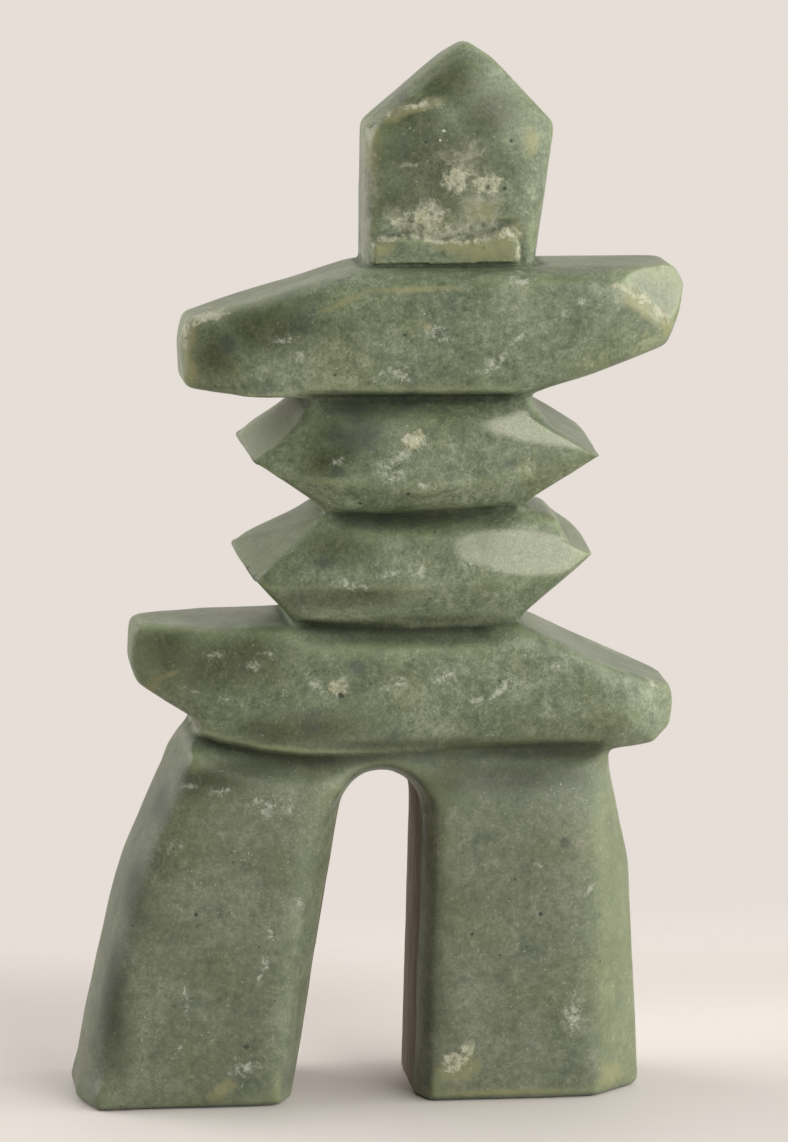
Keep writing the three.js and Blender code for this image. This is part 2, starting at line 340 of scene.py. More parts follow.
GRAINS: tuple[Grain, ...] = (
    Grain((12.5, -6.5, 154.9), 0.7),
    Grain((12.5, -6.6, 152.2), 0.4),
    Grain((19.5, -6.7, 143.9), 0.5),
    Grain((16.0, -6.8, 137.0), 0.65),
    Grain((18.6, -6.8, 136.7), 0.5),
    Grain((13.6, -6.9, 131.0), 0.5),
    Grain((15.5, -6.9, 131.3), 0.65),
    Grain((6.9, -6.7, 143.8), 0.4),
    Grain((9.6, -6.7, 145.4), 0.36, True),
    Grain((9.0, -6.7, 144.0), 0.3, True),
    Grain((3.1, -12.3, 115.8), 0.6),
    Grain((3.5, -12.7, 92.2), 0.6),
    Grain((-3.4, -11.1, 90.7), 0.6),
    Grain((-6.5, -12.6, 62.3), 0.8),
    Grain((17.3, -12.6, 63.9), 0.5),
    Grain((6.2, -10.8, 53.1), 0.4, True),
    Grain((-19.2, -13.0, 81.7), 0.45, True),
    Grain((6.8, -12.6, 76.5), 0.5),
    Grain((23.5, -13.6, 28.5), 0.55),
    Grain((13.1, -13.6, 25.8), 0.4),
    Grain((8.9, -13.6, 19.6), 0.38),
    Grain((30.7, -13.6, 10.8), 0.6),
    Grain((-20.9, -13.6, 9.4), 0.62),
    Grain((-28.3, -13.6, 29.8), 0.5),
)

# Flats ground on the faces. The soft ones are polished over, the first one paler with painted light; the three crisp
# ones, at the right, catch the light and carry a painted highlight.
FLATS: tuple[Flat, ...] = (
    Flat((-16.5, -13.2, 99.0), (-0.62, -0.10, 0.775), 30.0, 96.0, 106.6, True, 0.85),
    Flat((25.9, -12.2, 100.9), (0.50, -0.09, 0.86), 30.0, 96.0, 106.3, True),
    Flat((-13.6, -12.8, 83.7), (-0.64, -0.20, 0.75), 30.0, 79.0, 89.2, True),
    Flat((28.0, -10.7, 83.9), (0.48, -0.10, 0.87), 30.0, 78.0, 89.0, True),
    Flat((31.3, 0.0, 66.9), (0.378, -0.03, 0.925), 30.0, 58.0, 72.0, True),
    Flat((-4.5, -12.9, 99.4), (-0.20, -0.955, 0.22), 18.0, 93.5, 106.3, True),
    Flat((-2.0, -12.7, 83.45), (-0.13, -0.97, 0.21), 18.0, 79.0, 89.0, True),
    Flat((-11.53, -12.7, 63.38), (-0.165, -0.985, -0.06), 26.0, 54.0, 72.0, True),
    Flat((-7.35, -12.0, 114.7), (-0.15, -0.985, -0.02), 28.0, 107.0, 124.0, True),
    Flat(
        (20.6, -12.2, 83.2), (0.15, -0.96, 0.20), 17.0, 76.0, 88.6, False, 0.75, 0.006, (20.6, 83.15, 10.1, 3.25, -7.0)
    ),
    Flat((22.6, -11.9, 101.9), (0.094, -0.898, 0.43), 12.0, 94.0, 105.6, False, 1.0),
    Flat((39.9, -8.85, 121.5), (0.50, -0.80, 0.33), 9.5, 112.0, 125.6, False, 0.5),
)

# Soft creases along the faces of both bellies and the hips, then the grooves filed between the stones.
KERFS: tuple[Kerf, ...] = (
    Kerf((
        (-20.0, 98.8, 0.0), (-18.8, 98.2, -0.1), (-12.4, 95.2, -0.2), (-9.7, 94.3, -0.2), (-3.9, 93.5, -0.22),
        (1.2, 92.8, -0.22), (6.1, 93.1, -0.22), (11.0, 93.5, -0.2), (16.1, 94.2, -0.15), (24.0, 95.2, 0.0),
    ), 1.0, 0.8),
    Kerf((
        (-20.0, 81.8, 0.0), (-18.7, 81.4, -0.1), (-15.0, 80.7, -0.2), (-11.2, 79.6, -0.2), (-7.4, 79.1, -0.22),
        (-2.3, 78.3, -0.22), (3.9, 78.3, -0.22), (11.3, 78.7, -0.2), (16.8, 79.3, -0.15), (24.0, 80.6, 0.0),
    ), 1.0, 0.8),
    Kerf((
        (-33.0, 64.5, 0.0), (-30.0, 62.7, -0.1), (-23.0, 59.3, -0.15), (-11.5, 58.1, -0.18), (6.4, 57.7, -0.18),
        (24.0, 58.1, -0.18), (35.0, 58.7, -0.15), (42.0, 59.3, 0.0),
    ), 1.6, 1.2),
    Kerf((
        (-31.0, 57.0, 0.0), (-27.5, 55.7, 1.3), (-24.0, 54.5, 2.2), (-18.0, 53.2, 2.4), (-12.0, 52.5, 1.9),
        (-6.0, 52.4, 1.1), (0.0, 52.5, 0.7), (8.0, 52.9, 0.9), (14.5, 53.1, 1.2), (30.0, 53.4, 1.2),
        (35.5, 53.3, 0.0),
    ), 0.55, 2.4),
    Kerf((
        (-14.5, 73.2, 0.0), (-11.5, 72.7, 1.5), (-7.8, 72.2, 1.8), (3.5, 71.6, 1.8), (13.2, 71.6, 1.8),
        (20.5, 72.1, 0.0),
    )),
    Kerf((
        (-9.8, 89.3, 0.0), (-6.5, 89.0, 1.6), (-1.0, 88.5, 2.0), (8.4, 88.7, 1.8), (16.0, 89.3, 1.5),
        (20.5, 89.7, 0.0),
    )),
    Kerf((
        (-13.0, 106.9, 0.0), (-9.0, 106.6, 2.0), (5.7, 106.3, 2.2), (17.5, 106.3, 1.8), (21.8, 106.3, 0.0),
    ), 0.45, 2.2),
)


@dataclass
class GroundNoise:
    """Smooth noise in space between -1 and 1, the same in every run."""

    seed: int
    cells: int = 32
    table: np.ndarray = field(init=False)

    def __post_init__(self) -> None:
        """Fills the table of values at the corners of the cells."""
        self.table = np.random.default_rng(self.seed).uniform(-1.0, 1.0, (self.cells,) * 3)

    def at(self, points: np.ndarray, wavelength: Number) -> np.ndarray:
        """Noise at points.

        Args:
            points: Places in mm, one a row.
            wavelength: Size of a cell in mm.

        Returns:
            One value a point.
        """
        place = points / wavelength
        low = np.floor(place).astype(int)
        share = place - low
        share = share * share * (3.0 - 2.0 * share)
        total = np.zeros(len(points))
        for corner in np.ndindex(2, 2, 2):
            cell = (low + corner) % self.cells
            weight = np.prod(np.where(corner, share, 1.0 - share), axis=1)
            total += weight * self.table[cell[:, 0], cell[:, 1], cell[:, 2]]
        return total


@dataclass
class Skin:
    """The points of a mesh and the way each faces, in mm, while they are worked."""

    mesh: bpy.types.Mesh
    points: np.ndarray = field(init=False)
    facing: np.ndarray = field(init=False)

    def __post_init__(self) -> None:
        """Reads the points."""
        self.read()

    def read(self) -> None:
        """Takes the points and their normals from the mesh."""
        count = len(self.mesh.vertices)
        flat = np.empty(count * 3)
        self.mesh.vertices.foreach_get("co", flat)
        self.points = flat.reshape(-1, 3) / MM
        self.mesh.vertices.foreach_get("normal", flat)
        self.facing = flat.reshape(-1, 3).copy()

    def write(self) -> None:
        """Puts the points back and works out their normals again."""
        self.mesh.vertices.foreach_set("co", (self.points * MM).ravel())
        self.mesh.update()
        self.read()

    def eased(self, rounds: int, start: np.ndarray | None = None) -> np.ndarray:
        """Points drawn to the middle of their neighbours, over and over.

        Args:
            rounds: How many times.
            start: Points to start from, or None for the skin's own.

        Returns:
            The eased points; the skin's own stay.
        """
        count = len(self.points)
        pairs = np.empty(len(self.mesh.edges) * 2, dtype=int)
        self.mesh.edges.foreach_get("vertices", pairs)
        first, second = pairs[0::2], pairs[1::2]
        degree = np.bincount(first, minlength=count) + np.bincount(second, minlength=count)
        points = (self.points if start is None else start).copy()
        for _ in range(rounds):
            total = np.empty_like(points)
            for axis in range(3):
                column = points[:, axis]
                total[:, axis] = np.bincount(first, column[second], count)
                total[:, axis] += np.bincount(second, column[first], count)
            points = 0.5 * points + 0.5 * total / np.maximum(degree, 1)[:, None]
        return points

    def push(self, distance: np.ndarray) -> None:
        """Moves each point along the way it faces, by a distance in mm."""
        self.points += self.facing * distance[:, None]

    def keep(self, name: str, values: np.ndarray) -> None:
        """Keeps one value a point as an attribute of the mesh.

        Args:
            name: The attribute's name.
            values: One value a point.
        """
        layer = self.mesh.attributes.new(name, "FLOAT", "POINT")
        layer.data.foreach_set("value", values.astype(np.float32))


def softness(points: np.ndarray, *tints: Tint) -> np.ndarray:
    """How far inside the marks of some tints each point lies.

    Args:
        points: Places in mm.
        tints: The tints.

    Returns:
        1 in the middle of a mark, 0.5 on its outline and 0 at twice its size.
    """
    most = np.zeros(len(points))
    places = [place for marks in MARKS if marks.tint in tints for place in marks.places]
    for x, y, z, half_length, half_width, tilt in places:
        along, beside = turned(points[:, 0] - x, points[:, 2] - z, tilt)
        inward = (points[:, 1] - y) / MARK_DEPTH
        reach = np.sqrt((along / half_length) ** 2 + (beside / half_width) ** 2 + inward**2)
        most = np.maximum(most, 1.0 - reach / 2.0)
    return most


class Sock:
    """A shader socket that takes part in arithmetic: each expression adds its Math nodes."""

    def __init__(self, shader: "Shader", socket: bpy.types.NodeSocket) -> None:
        """Wraps a socket of a shader's node."""
        self.shader = shader
        self.socket = socket

    def __add__(self, other: "Term") -> "Sock":
        """The sum."""
        return self.shader.math("ADD", self, other)

    __radd__ = __add__

    def __sub__(self, other: "Term") -> "Sock":
        """The difference."""
        return self.shader.math("SUBTRACT", self, other)

    def __rsub__(self, other: "Term") -> "Sock":
        """The difference the other way round."""
        return self.shader.math("SUBTRACT", other, self)

    def __mul__(self, other: "Term") -> "Sock":
        """The product."""
        return self.shader.math("MULTIPLY", self, other)

    __rmul__ = __mul__


Term = Union[Sock, Number]


@dataclass(frozen=True)
class Clouds:
    """A noise, and where in the stone it is taken from."""

    size: float  # of its largest clouds, in mm
    layers: float = 3.0  # how many finer ones lie in them
    rough: float = 0.55  # how strong each finer layer is
    offset: Point | None = None


class Shader:
    """A material under construction: its node tree and the ways to add to it."""

    def __init__(self, name: str) -> None:
        """Starts an empty material of a name."""
        self.material = bpy.data.materials.new(name)
        self.material.use_nodes = True
        self.tree = self.material.node_tree
        self.tree.nodes.clear()

    def node(
        self, kind: str, settings: dict[str, Any] | None = None, values: dict[Any, Any] | None = None
    ) -> bpy.types.Node:
        """Adds any node.

        Args:
            kind: The node's type.
            settings: Its own settings, which are set first. "stops" is a ramp's list of (place, colour).
            values: Values or links by socket name or number.

        Returns:
            The node.
        """
        made = self.tree.nodes.new(kind)
        for name, setting in (settings or {}).items():
            if name == "stops":
                ramp = made.color_ramp
                for spare in list(ramp.elements)[2:]:
                    ramp.elements.remove(spare)
                while len(ramp.elements) < len(setting):
                    ramp.elements.new(1.0)
                for element, (place, colour) in zip(ramp.elements, setting):
                    element.position = place
                    element.color = (*colour, 1.0)
            else:
                setattr(made, name, setting)
        for name, value in (values or {}).items():
            if isinstance(value, Sock):
                self.tree.links.new(value.socket, made.inputs[name])
            elif isinstance(value, tuple) and len(value) == 3 and made.inputs[name].type == "RGBA":
                made.inputs[name].default_value = (*value, 1.0)
            else:
                made.inputs[name].default_value = value
        return made

    def out(self, made: bpy.types.Node, name: str | int = 0) -> Sock:
        """A node's output as a socket to reckon with."""
        return Sock(self, made.outputs[name])

    def math(self, operation: str, *values: Term) -> Sock:
        """A Math node's result from its one to three inputs."""
        return self.out(self.node("ShaderNodeMath", {"operation": operation}, dict(enumerate(values))))

    def vector(self, operation: str, *values: Sock | Point) -> Sock:
        """A Vector Math node's vector from its one to three inputs."""
        return self.out(self.node("ShaderNodeVectorMath", {"operation": operation}, dict(enumerate(values))))

    def place(self) -> Sock:
        """The place on the piece, in mm."""
        return self.vector("MULTIPLY", self.out(self.node("ShaderNodeTexCoord"), "Object"), (1.0 / MM,) * 3)

    def height(self, place: Sock, axis: int = 2) -> Sock:
        """One length of a place: the third, its height, unless told otherwise."""
        return self.out(self.node("ShaderNodeSeparateXYZ", {}, {"Vector": place}), axis)

    def warped(self, place: Sock, size: Number, reach: Number) -> Sock:
        """A place carried along by a noise.

        Args:
            place: The place in mm.
            size: Size of the noise in mm.
            reach: How far it carries, in mm.

        Returns:
            The moved place.
        """
        noise = self.node("ShaderNodeTexNoise", {}, {"Vector": place, "Scale": 1.0 / size, "Detail": 2.0})
        centred = self.vector("SUBTRACT", self.out(noise, "Color"), (0.5, 0.5, 0.5))
        return self.vector("MULTIPLY_ADD", centred, (2.0 * reach,) * 3, place)

    def noise(self, place: Sock, clouds: Clouds) -> Sock:
        """Cloudy noise at a place in mm, spread out to run from 0 to 1."""
        where = self.vector("ADD", place, clouds.offset) if clouds.offset else place
        values = {"Vector": where, "Scale": 1.0 / clouds.size, "Detail": clouds.layers, "Roughness": clouds.rough}
        return self.step(self.out(self.node("ShaderNodeTexNoise", {}, values)), 0.25, 0.75, "LINEAR")

    def step(self, value: Term, low: Term, high: Term, how: str = "SMOOTHSTEP") -> Sock:
        """A step from 0 at low to 1 at high, soft unless told otherwise."""
        settings = {"interpolation_type": how, "clamp": True}
        values = {"Value": value, "From Min": low, "From Max": high}
        return self.out(self.node("ShaderNodeMapRange", settings, values))

    def blend(self, share: Term, first: Sock | Colour, second: Sock | Colour, how: str = "MIX") -> Sock:
        """A mix of two colours.

        Args:
            share: How much of the second.
            first: The first colour.
            second: The second colour.
            how: The way of mixing.

        Returns:
            The colour.
        """
        settings = {"data_type": "RGBA", "blend_type": how}
        made = self.node("ShaderNodeMix", settings, {0: share, 6: first, 7: second})
        return self.out(made, 2)

    def ramp(self, value: Sock, stops: list[tuple[float, Colour]]) -> Sock:
        """A colour read from a ramp of (place, colour) stops."""
        return self.out(self.node("ShaderNodeValToRGB", {"stops": stops}, {"Fac": value}))

    def trace(self, name: Tint | Trace) -> Sock:
        """An attribute of the mesh."""
        return self.out(self.node("ShaderNodeAttribute", {"attribute_name": name.value}), "Fac")

    def bump(self, height: Sock, reach: Number, strength: Number, under: Sock | None = None) -> Sock:
        """A normal bent by a height.

        Args:
            height: The height, from 0 to 1.
            reach: How tall that is, in mm.
            strength: Share of the bump that shows.
            under: A normal that it lies on.

        Returns:
            The normal.
        """
        values: dict[Any, Any] = {"Height": height, "Distance": reach * MM, "Strength": strength}
        if under is not None:
            values["Normal"] = under
        return self.out(self.node("ShaderNodeBump", {}, values))

    def finish(self, colour: Sock, rough: Sock, normal: Sock, others: dict[str, Any]) -> None:
        """Closes the material with a Principled surface.

        Args:
            colour: Its base colour.
            rough: Its roughness.
            normal: Its normal.
            others: Values or links of its other sockets, by name.
        """
        values: dict[Any, Any] = {"Base Color": colour, "Roughness": rough, "Normal": normal, **others}
        surface = self.node("ShaderNodeBsdfPrincipled", {}, values)
        self.node("ShaderNodeOutputMaterial", {}, {"Surface": self.out(surface)})


@dataclass(frozen=True)
class GreenStone:
    """Polished green stone: mottled, flecked with white, with cream crusts, ochre stains and worn edges, and painted
    shade, light and sheen laid over it.
    """

    deep: Colour = (0.062, 0.080, 0.045)
    middle: Colour = (0.136, 0.164, 0.098)
    light: Colour = (0.250, 0.282, 0.190)
    leaf_and_painted_light: Colour = (0.235, 0.272, 0.130)  # worn edges, and painted light on thin edges, the right leg's chamfer and the left slopes
    slate: Colour = (0.058, 0.072, 0.056)
    white: Colour = (0.56, 0.58, 0.48)
    cream: Colour = (0.52, 0.525, 0.38)
    clay: Colour = (0.235, 0.235, 0.15)  # the crusts' own shadow
    ochre: Colour = (0.25, 0.24, 0.115)
    frost_and_painted_highlight: Colour = (0.40, 0.415, 0.305)  # ground flats: frosted, with a painted highlight
    film_and_painted_sheen: Colour = (0.40, 0.40, 0.31)  # haze round the crusts, and painted sheen along the head's left strip
    raw: Colour = (0.32, 0.25, 0.18)  # the doorway's wall
    raw_dark: Colour = (0.075, 0.06, 0.045)
    grain_dark: Colour = (0.03, 0.034, 0.028)
    grain_bright: Colour = (0.62, 0.64, 0.55)
    speck: Colour = (0.02, 0.024, 0.02)
    moss: Colour = (1.0, 0.93, 0.72)  # this one and the next two multiply the stone's colour
    # painted shade, multiplied in under the dim marks
    shade: Colour = (0.53, 0.52, 0.47)
    shank: Colour = (0.97, 0.92, 0.99)
    cloud_share: float = 0.26  # of the stone's tone, as are the next two
    mottle_share: float = 0.50
    grain_share: float = 0.24
    # how far the colour of worn edges with their painted light, mossy clouds, stains, crusts and the painted shade in
    # hollows and grooves covers the stone's own
    worn: float = 0.45
    mossy: float = 0.35
    stained: float = 0.7
    crusty: float = 0.88
    groove_painted_shade: float = 0.72
    rough: float = 0.36  # roughness of the polish, the crusts and the doorway's wall, and the roughest of all
    crust_rough: float = 0.72
    raw_rough: float = 0.8
    roughest: float = 0.95
    refraction: float = 1.5
    shine: float = 0.26
    hips: Step = (48.0, 60.0)  # how high the livelier stone above the legs starts, in mm
    clouds: Clouds = Clouds(8.0, 2.0)
    mottle: Clouds = Clouds(1.7, 4.0, 0.86)
    grain: Clouds = Clouds(0.46, 2.0, 0.6)
    olive: Clouds = Clouds(11.0, offset=(9.0, 3.0, 21.0))
    frosting: Clouds = Clouds(0.35, 4.0, 0.85)
    slates: Clouds = Clouds(6.0, 5.0, 0.62, (31.0, 7.0, 3.0))
    slate_edges: Clouds = Clouds(1.4, 4.0)
    streaks: Clouds = Clouds(0.85, 5.0, 0.78)
    fleck_fields: Clouds = Clouds(8.0, offset=(5.0, 50.0, 9.0))
    ragged: Clouds = Clouds(1.5, 4.0, 0.6)
    crumbs: Clouds = Clouds(1.1, 5.0, 0.7)
    yellowing: Clouds = Clouds(2.6, offset=(4.0, 8.0, 2.0))
    pores: Clouds = Clouds(0.42, 4.0, 0.7, (2.0, 9.0, 4.0))
    crust_lumps: Clouds = Clouds(0.6, 5.0, 0.75)
    rasp_tint: Clouds = Clouds(0.7, 4.0, 0.65)
    rasp_ridges: Clouds = Clouds(0.5, 4.0, 0.65)

    def make(self) -> bpy.types.Material:
        """Makes the material.

        Returns:
            The material.
        """
        shader = Shader("green_stone")
        place = shader.place()
        carried = shader.warped(place, size=7.0, reach=1.6)
        mottle = shader.noise(carried, self.mottle)
        grain = shader.noise(place, self.grain)
        upper = shader.step(shader.height(place), *self.hips)
        lively = 0.7 + 0.32 * upper
        tone = self.cloud_share * shader.noise(carried, self.clouds) + self.mottle_share * mottle
        tone = 0.5 + lively * (tone + self.grain_share * grain - 0.5)
        colour = shader.ramp(tone, [(0.22, self.deep), (0.5, self.middle), (0.76, self.light)])
        olive = shader.step(shader.noise(carried, self.olive), 0.45, 0.75)
        colour = shader.blend(olive * self.mossy, colour, self.moss, "MULTIPLY")
        # Painted shade: the dim marks darken the stone under the tiers, in the grooves and on the left sides, and they
        # darken the head's face.
        dim_and_shade_share = shader.step(shader.trace(Tint.DIM_AND_SHADE) + 0.45 * (mottle - 0.5), 0.1, 0.85)
        colour = shader.blend(dim_and_shade_share, colour, self.shade, "MULTIPLY")
        colour = shader.blend(1.0 - upper, colour, self.shank, "MULTIPLY")
        colour = self.slated(shader, carried, colour)
        wear_and_light, ground, hollow = (shader.trace(trace) for trace in (Trace.WEAR_AND_PAINTED_LIGHT, Trace.GROUND_AND_HIGHLIGHT, Trace.PAINTED_HOLLOW_SHADE))
        # Worn edges take the leaf colour, and so do the thin edges, the right leg's chamfer and the left slopes as
        # painted light.
        colour = shader.blend(wear_and_light * self.worn, colour, self.leaf_and_painted_light)
        # The ground flats are paler: frosted stone with a painted highlight.
        colour = shader.blend(ground * (0.2 + shader.noise(place, self.frosting)), colour, self.frost_and_painted_highlight)
        colour, flecks = self.flecked(shader, place, colour)
        colour, crust = self.crusted(shader, place, colour)
        colour = self.dotted(shader, place, colour)
        colour, sawn = self.sawn(shader, place, colour)
        # Painted shade: the hollows, the grooves, the left leg's outer side and the left slopes are darkened with the
        # deep colour.
        colour = shader.blend(hollow * self.groove_painted_shade, colour, self.deep, "MULTIPLY")
        rough = self.rough + 0.10 * (mottle - 0.5) + flecks * 0.10 + hollow * 0.5 + ground * 0.12 - wear_and_light * 0.06
        rough = rough + crust * (self.crust_rough - self.rough) + sawn * (self.raw_rough - self.rough)
        normal = self.relief(shader, place, grain, crust, sawn)
        others = {"IOR": self.refraction, "Specular IOR Level": self.shine}
        shader.finish(colour, shader.math("MINIMUM", rough, self.roughest), normal, others)
        return shader.material

    def slated(self, shader: Shader, place: Sock, colour: Sock) -> Sock:
        """Darkens the stone where bluish slate clouds lie, and lays painted shade under the shoulders where the dark
        marks lie.

        Args:
            shader: The shader.
            place: The place in mm.
            colour: The colour so far.

        Returns:
            The darker colour.
        """
        free = shader.step(shader.noise(place, self.slates), 0.62, 0.9)
        named = shader.trace(Tint.DARK) + 0.5 * (shader.noise(place, self.slate_edges) - 0.5)
        share = shader.math("MAXIMUM", free * 0.55, shader.step(named, 0.3, 0.75) * 0.65)
        return shader.blend(share, colour, self.slate)

    def flecked(self, shader: Shader, place: Sock, colour: Sock) -> tuple[Sock, Sock]:
        """Scatters white flecks, thick in the named clusters and thin elsewhere.

        Args:
            shader: The shader.
            place: The place in mm.
            colour: The colour so far.

        Returns:
            The colour, and how much of it is fleck.
        """
        streaks = shader.noise(shader.warped(place, size=1.5, reach=0.8), self.streaks)
        cluster = shader.step(shader.trace(Tint.WHITE), 0.1, 0.95, "LINEAR")
        free = shader.step(shader.noise(place, self.fleck_fields), 0.45, 0.95)
        over = streaks - (0.86 - 0.44 * cluster - 0.12 * free)
        patch = shader.step(over, 0.0, 0.22)
        veil = shader.step(over, -0.16, 0.05) * cluster
        crowd = 0.08 + 0.40 * cluster + 0.30 * free
        dots = self.specks(shader, shader.warped(place, size=0.4, reach=0.3), 0.5, crowd, 0.34)
        share = shader.math("MAXIMUM", 0.22 * veil + 0.32 * patch, dots * 0.5)
        return shader.blend(share, colour, self.white), patch

    def specks(self, shader: Shader, place: Sock, size: Number, crowd: Term, radius: Number) -> Sock:
        """Small dots, one in some of the cells of a pattern, each as strong as chance has it.

        Args:
            shader: The shader.
            place: The place in mm.
            size: Size of a cell in mm.
            crowd: Share of the cells that hold a dot.
            radius: Largest radius of a dot, as a share of the cell.

        Returns:
            How much of the place is dot.
        """
        pattern = shader.node("ShaderNodeTexVoronoi", {"feature": "F1"}, {"Vector": place, "Scale": 1.0 / size})
        chance = shader.node("ShaderNodeSeparateColor", {}, {"Color": shader.out(pattern, "Color")})
        held = shader.math("LESS_THAN", shader.out(chance, 0), crowd)
        reach = radius * (0.35 + 0.65 * shader.out(chance, 1))
        dot = shader.step(shader.out(pattern, "Distance"), reach, reach * 0.4)
        return dot * held * (0.35 + 0.65 * shader.out(chance, 2))

    def crusted(self, shader: Shader, place: Sock, colour: Sock) -> tuple[Sock, Sock]:
        """Lays on the ochre stains, the haze with its painted sheen on the head's left strip, and the cream crusts.

        Args:
            shader: The shader.
            place: The place in mm.
            colour: The colour so far.

        Returns:
            The colour, and how much of it is crust.
        """
        ragged = shader.noise(place, self.ragged)
        stain = shader.step(shader.trace(Tint.OCHRE) + 0.55 * (ragged - 0.5), 0.22, 0.85)
        colour = shader.blend(stain * self.stained, colour, self.ochre)
        fine = shader.noise(shader.warped(place, size=1.2, reach=0.7), self.crumbs)
        # haze round the crusts, and painted sheen along the head's left strip
        haze = shader.step(shader.trace(Tint.HAZE_AND_SHEEN) + 0.8 * (fine - 0.5), 0.25, 0.9)
        pale = shader.trace(Tint.CREAM)
        crust = shader.step(pale + 0.75 * (ragged - 0.5) + 0.25 * (fine - 0.5), 0.34, 0.74)
        tone = shader.step(fine + 0.35 * pale, 0.42, 0.85, "LINEAR")
        yellow = shader.step(shader.noise(place, self.yellowing), 0.45, 0.7)
        shade = shader.blend(tone, shader.blend(yellow, self.clay, self.ochre), self.cream)
        colour = shader.blend(haze * 0.55, colour, shader.blend(tone, self.clay, self.film_and_painted_sheen))
        return shader.blend(crust * self.crusty, colour, shade), crust

    def dotted(self, shader: Shader, place: Sock, colour: Sock) -> Sock:
        """Sets the named grains, and scattered dark ones everywhere.

        Args:
            shader: The shader.
            place: The place in mm.
            colour: The colour so far.

        Returns:
            The dotted colour.
        """
        broken = shader.warped(place, size=0.55, reach=0.35)
        for bright, paint in ((False, self.grain_dark), (True, self.grain_bright)):
            share: Term = 0.0
            for one in GRAINS:
                if one.bright is bright:
                    node = shader.node("ShaderNodeVectorMath", {"operation": "DISTANCE"}, {0: broken, 1: one.at})
                    away = shader.step(shader.out(node, "Value"), one.radius * 0.75, one.radius * 0.35)
                    share = shader.math("MAXIMUM", share, away)
            colour = shader.blend(share * 0.85, colour, paint)
        carried = shader.warped(place, size=0.6, reach=0.16)
        elsewhere = shader.vector("ADD", carried, (3.0, 1.0, 7.0))
        coarse = self.specks(shader, carried, size=1.9, crowd=0.32, radius=0.16) * 0.75
        fine = self.specks(shader, elsewhere, size=0.8, crowd=0.22, radius=0.24) * 0.55
        return shader.blend(shader.math("MAXIMUM", coarse, fine), colour, self.speck)

    def sawn(self, shader: Shader, place: Sock, colour: Sock) -> tuple[Sock, Sock]:
        """Leaves the doorway's inner wall as the tool left it: paler, rust grey, with upright streaks.

        Args:
            shader: The shader.
            place: The place in mm.
            colour: The colour so far.

        Returns:
            The colour, and how much of it is sawn.
        """
        streak = shader.noise(shader.vector("MULTIPLY", place, (1.0, 1.0, 0.08)), self.rasp_tint)
        sawn = shader.trace(Trace.SAWN)
        return shader.blend(sawn * 0.85, colour, shader.blend(streak, self.raw_dark, self.raw)), sawn

    def relief(self, shader: Shader, place: Sock, grain: Sock, crust: Sock, sawn: Sock) -> Sock:
        """The fine relief: grain, crust and the streaks of the sawn wall.

        Args:
            shader: The shader.
            place: The place in mm.
            grain: The grain's noise.
            crust: How much is crust.
            sawn: How much is sawn.

        Returns:
            The normal.
        """
        pores = shader.step(shader.noise(place, self.pores), 0.15, 0.5)
        fine = shader.bump(0.35 * grain + 0.65 * pores, reach=0.05, strength=0.35)
        rough = shader.bump(shader.noise(place, self.crust_lumps) * crust, reach=0.28, strength=0.8, under=fine)
        streak = shader.noise(shader.vector("MULTIPLY", place, (1.0, 1.0, 0.07)), self.rasp_ridges)
        return shader.bump(streak * sawn, reach=0.22, strength=0.8, under=rough)


@dataclass(frozen=True)
class TablePaint:
    """The pale matt surface that the figure stands on."""

    colour: Colour = (0.71, 0.655, 0.61)
    cloudy: Colour = (0.66, 0.605, 0.56)
    rough: float = 0.6
    fading: Step = (125.0, 30.0)  # how far behind the figure it is gone, and still whole, in mm
    clouds: Clouds = Clouds(90.0)
    grain: Clouds = Clouds(1.2)

    def make(self) -> bpy.types.Material:
        """Makes the material.

        Returns:
            The material.
        """
        shader = Shader("table_paint")
        place = shader.place()
        cloud = shader.noise(place, self.clouds)
        colour = shader.blend(cloud * 0.06, self.colour, self.cloudy)
        grain = shader.bump(shader.noise(place, self.grain), reach=0.03, strength=0.2)
        others = {"Specular IOR Level": 0.3, "Alpha": shader.step(shader.height(place, 1), *self.fading)}
        shader.finish(colour, self.rough + 0.06 * (cloud - 0.5), grain, others)
        return shader.material


def only(thing: bpy.types.Object) -> None:
    """Selects one object alone and makes it active."""
    bpy.ops.object.select_all(action="DESELECT")
    thing.select_set(True)
    bpy.context.view_layer.objects.active = thing


def apply_modifier(thing: bpy.types.Object, kind: str, **settings: Any) -> None:
    """Adds a modifier and applies it at once.

    Args:
        thing: The object.
        kind: The modifier's type.
        settings: Its settings.
    """
    only(thing)
    modifier = thing.modifiers.new(kind.lower(), kind)
    for name, value in settings.items():
        setattr(modifier, name, value)
    bpy.ops.object.modifier_apply(modifier=modifier.name)


def bevelled_block(middle: Point, size: Point, edge: Number, segments: int) -> bpy.types.Object:
    """Adds a block with bevelled edges.

    Args:
        middle: Its middle in mm.
        size: Its lengths in mm.
        edge: Width of its bevel in mm.
        segments: How many faces the bevel has.

    Returns:
        The block.
    """
    bpy.ops.object.select_all(action="DESELECT")
    bpy.ops.mesh.primitive_cube_add(size=1.0, location=Vector(middle) * MM)
    block = bpy.context.active_object
    block.scale = Vector(size) * MM
    bpy.ops.object.transform_apply(location=True, rotation=False, scale=True)
    bpy.ops.object.mode_set(mode="EDIT")
    bpy.ops.mesh.select_all(action="SELECT")
    bpy.ops.mesh.bevel(offset=edge * MM, segments=segments, affect="EDGES")
    bpy.ops.object.mode_set(mode="OBJECT")
    return block


def way_to(azimuth: Number, elevation: Number) -> Vector:
    """The way from the figure to something that stands at an azimuth and an elevation in degrees."""
    turn, rise = math.radians(azimuth), math.radians(elevation)
    return Vector((math.sin(turn) * math.cos(rise), -math.cos(turn) * math.cos(rise), math.sin(rise)))


